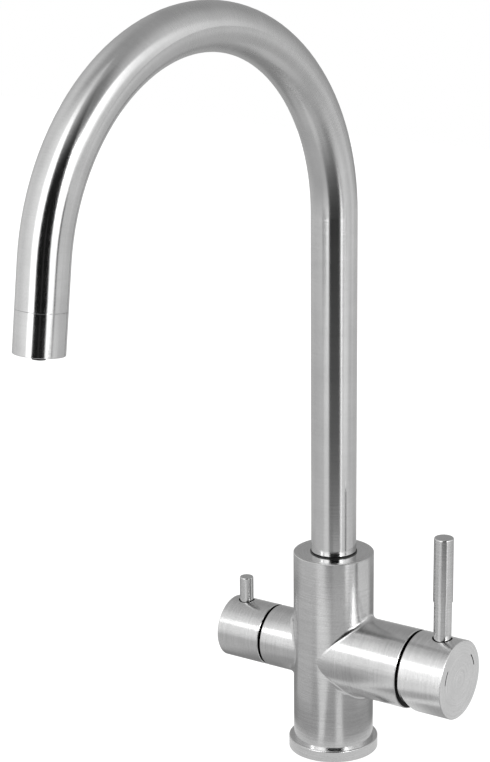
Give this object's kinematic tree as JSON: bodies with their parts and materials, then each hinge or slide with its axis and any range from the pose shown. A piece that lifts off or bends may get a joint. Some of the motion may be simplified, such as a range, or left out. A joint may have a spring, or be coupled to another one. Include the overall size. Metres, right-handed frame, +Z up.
{
  "type": "kitchen faucet",
  "caption": "Deck-mounted kitchen faucet with a swivel swan-neck spout, a side lever mixer and a separate filtered-water tap on the other side.",
  "frame": {"origin": "centre of the base ring's underside, on the worktop", "axes": "+Z up along the column; -Y to the front, where the spout reaches; +X out along the mixer barrel"},
  "size_m": [0.1488, 0.2611, 0.4845],
  "materials": {
    "brushed_steel": "brushed around each turned piece",
    "fixing_brass": "turned",
    "plain_steel": "plain",
    "black_rubber": "moulded",
    "black_nylon": "moulded",
    "pale_plastic": "moulded",
    "white_ceramic": "lapped"
  },
  "bodies": {
    "base": {"body_casting": "brushed_steel", "base_ring": "brushed_steel", "base_seal": "black_rubber", "fixing_shank": "fixing_brass", "clamp_gasket": "black_rubber", "clamp_washer": "plain_steel", "clamp_nut": "fixing_brass", "spout_bearing": "black_nylon", "spout_grub_screw": "plain_steel", "filter_pipe_seal": "black_rubber", "cartridge_base": "pale_plastic", "cartridge_seals": "black_rubber", "fixed_disc": "white_ceramic", "cartridge_housing": "pale_plastic", "cartridge_nut": "plain_steel", "filter_valve_seal": "black_rubber", "filter_fixed_disc": "white_ceramic", "filter_valve_body": "fixing_brass", "filter_valve_oring": "black_rubber"},
    "spout": {"spout_tube": "brushed_steel", "spout_ferrule": "fixing_brass", "spout_seals": "black_rubber", "filter_pipe": "pale_plastic", "outlet_sleeve": "brushed_steel", "aerator_seal": "black_rubber", "aerator_body": "pale_plastic", "aerator_screen": "plain_steel", "filter_nozzle": "black_nylon"},
    "mixer_carrier": {"cartridge_rotor": "pale_plastic", "rotor_pivot_pin": "plain_steel"},
    "mixer_disc": {"moving_disc": "white_ceramic", "disc_driver": "pale_plastic"},
    "mixer_lever": {"cartridge_stem": "fixing_brass", "mixer_handle": "brushed_steel", "mixer_lever_rod": "brushed_steel", "mixer_grub_screw": "plain_steel"},
    "filter_lever": {"filter_moving_disc": "white_ceramic", "filter_spindle": "fixing_brass", "spindle_oring": "black_rubber", "spindle_clip": "plain_steel", "filter_handle": "brushed_steel", "filter_lever_pin": "brushed_steel", "filter_grub_screw": "plain_steel"}
  },
  "joints": [
    {"name": "spout_swivel", "type": "hinge", "parent": "base", "child": "spout", "pos_m": [0, 0, 0.1165], "axis": [0, 0, 1], "continuous": true},
    {"name": "mixer_turn", "type": "hinge", "parent": "base", "child": "mixer_carrier", "pos_m": [0.04385, 0, 0.058], "axis": [1, 0, 0], "range_deg": [-50, 50]},
    {"name": "mixer_tilt", "type": "hinge", "parent": "mixer_carrier", "child": "mixer_lever", "pos_m": [0.04385, 0, 0.058], "axis": [0, 1, 0], "range_deg": [0, 21]},
    {"name": "disc_slide", "type": "slide", "parent": "mixer_carrier", "child": "mixer_disc", "axis": [0, 0, 1], "range_m": [0, 0.00251]},
    {"name": "filter_turn", "type": "hinge", "parent": "base", "child": "filter_lever", "pos_m": [-0.02, 0, 0.058], "axis": [1, 0, 0], "range_deg": [0, 90]}
  ],
  "couplings": [
    {"joint": "disc_slide", "follows": "mixer_tilt", "m_per_rad": 0.0068443}
  ]
}
